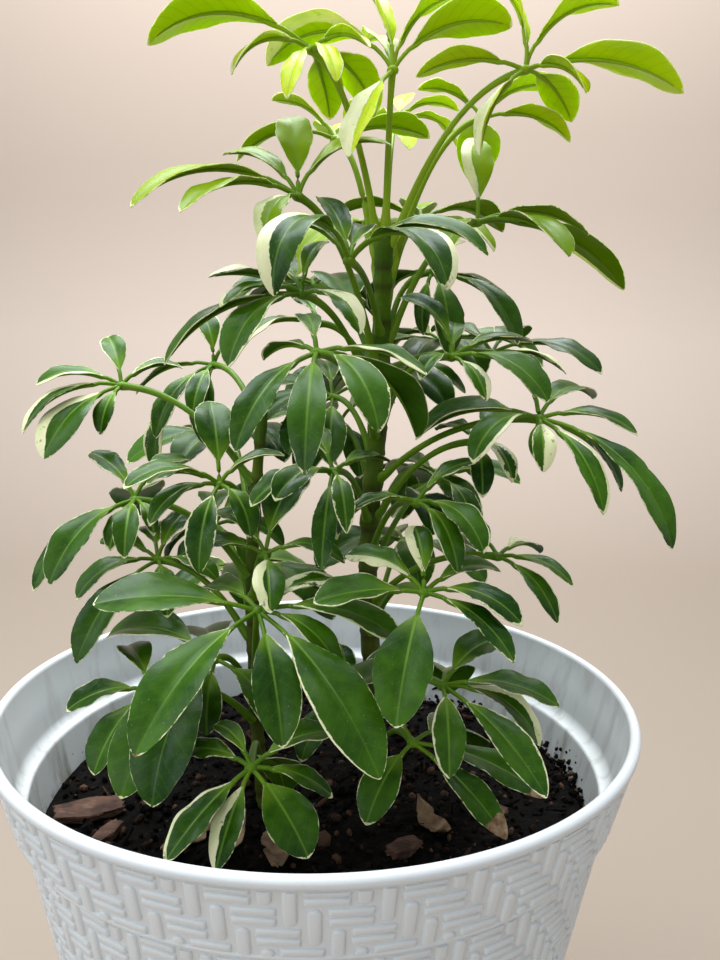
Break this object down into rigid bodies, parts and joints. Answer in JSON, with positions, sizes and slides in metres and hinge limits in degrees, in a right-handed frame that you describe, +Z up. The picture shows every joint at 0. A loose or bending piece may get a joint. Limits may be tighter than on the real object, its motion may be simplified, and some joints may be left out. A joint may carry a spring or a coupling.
{
  "type": "potted variegated schefflera",
  "caption": "Foliage plant: arching fronds of long leaflets on upright stems, rooted in soil in a tapered plastic pot with a broad collar, a woven relief and a flat base.",
  "frame": {"origin": "middle of the pot's flat underside", "axes": "+Z up along the pot's axis, +X to the right and -Y to the front in the picture's view"},
  "size_m": [0.3, 0.3, 0.5763],
  "materials": {
    "plastic": "glossy, moulded",
    "soil": "moist, crumbly",
    "bark": "green bark, ringed",
    "leaf": "waxy leaf",
    "dry_leaf": "dry, matt",
    "chip": "rough bark"
  },
  "bodies": {
    "root": {"pot": "plastic", "soil": "soil", "main_stem": "bark", "left_stem": "bark", "frond_01": "leaf", "frond_02": "leaf", "frond_03": "leaf", "frond_04": "leaf", "frond_05": "leaf", "frond_06": "leaf", "frond_07": "leaf", "frond_08": "leaf", "frond_09": "leaf", "frond_10": "leaf", "frond_11": "leaf", "frond_12": "leaf", "frond_13": "leaf", "frond_14": "leaf", "frond_15": "leaf", "frond_16": "leaf", "frond_17": "leaf", "frond_18": "leaf", "frond_19": "leaf", "frond_20": "leaf", "frond_21": "leaf", "frond_22": "leaf", "frond_23": "leaf", "frond_24": "leaf", "frond_25": "leaf", "frond_26": "leaf", "frond_27": "leaf", "frond_28": "leaf", "frond_29": "leaf", "frond_30": "leaf", "frond_31": "leaf", "frond_32": "leaf", "frond_33": "leaf", "frond_34": "leaf", "frond_35": "leaf", "frond_36": "leaf", "frond_37": "leaf", "frond_38": "leaf", "frond_39": "leaf", "frond_40": "leaf", "frond_41": "leaf", "frond_42": "leaf", "frond_43": "leaf", "frond_44": "leaf", "frond_45": "leaf", "frond_46": "leaf", "frond_47": "leaf", "dry_leaf_1": "dry_leaf", "dry_leaf_2": "dry_leaf", "dry_leaf_3": "dry_leaf", "dry_leaf_4": "dry_leaf", "bark_chip_1": "chip", "bark_chip_2": "chip", "bark_chip_3": "chip", "bark_chip_4": "chip"}
  },
  "joints": []
}
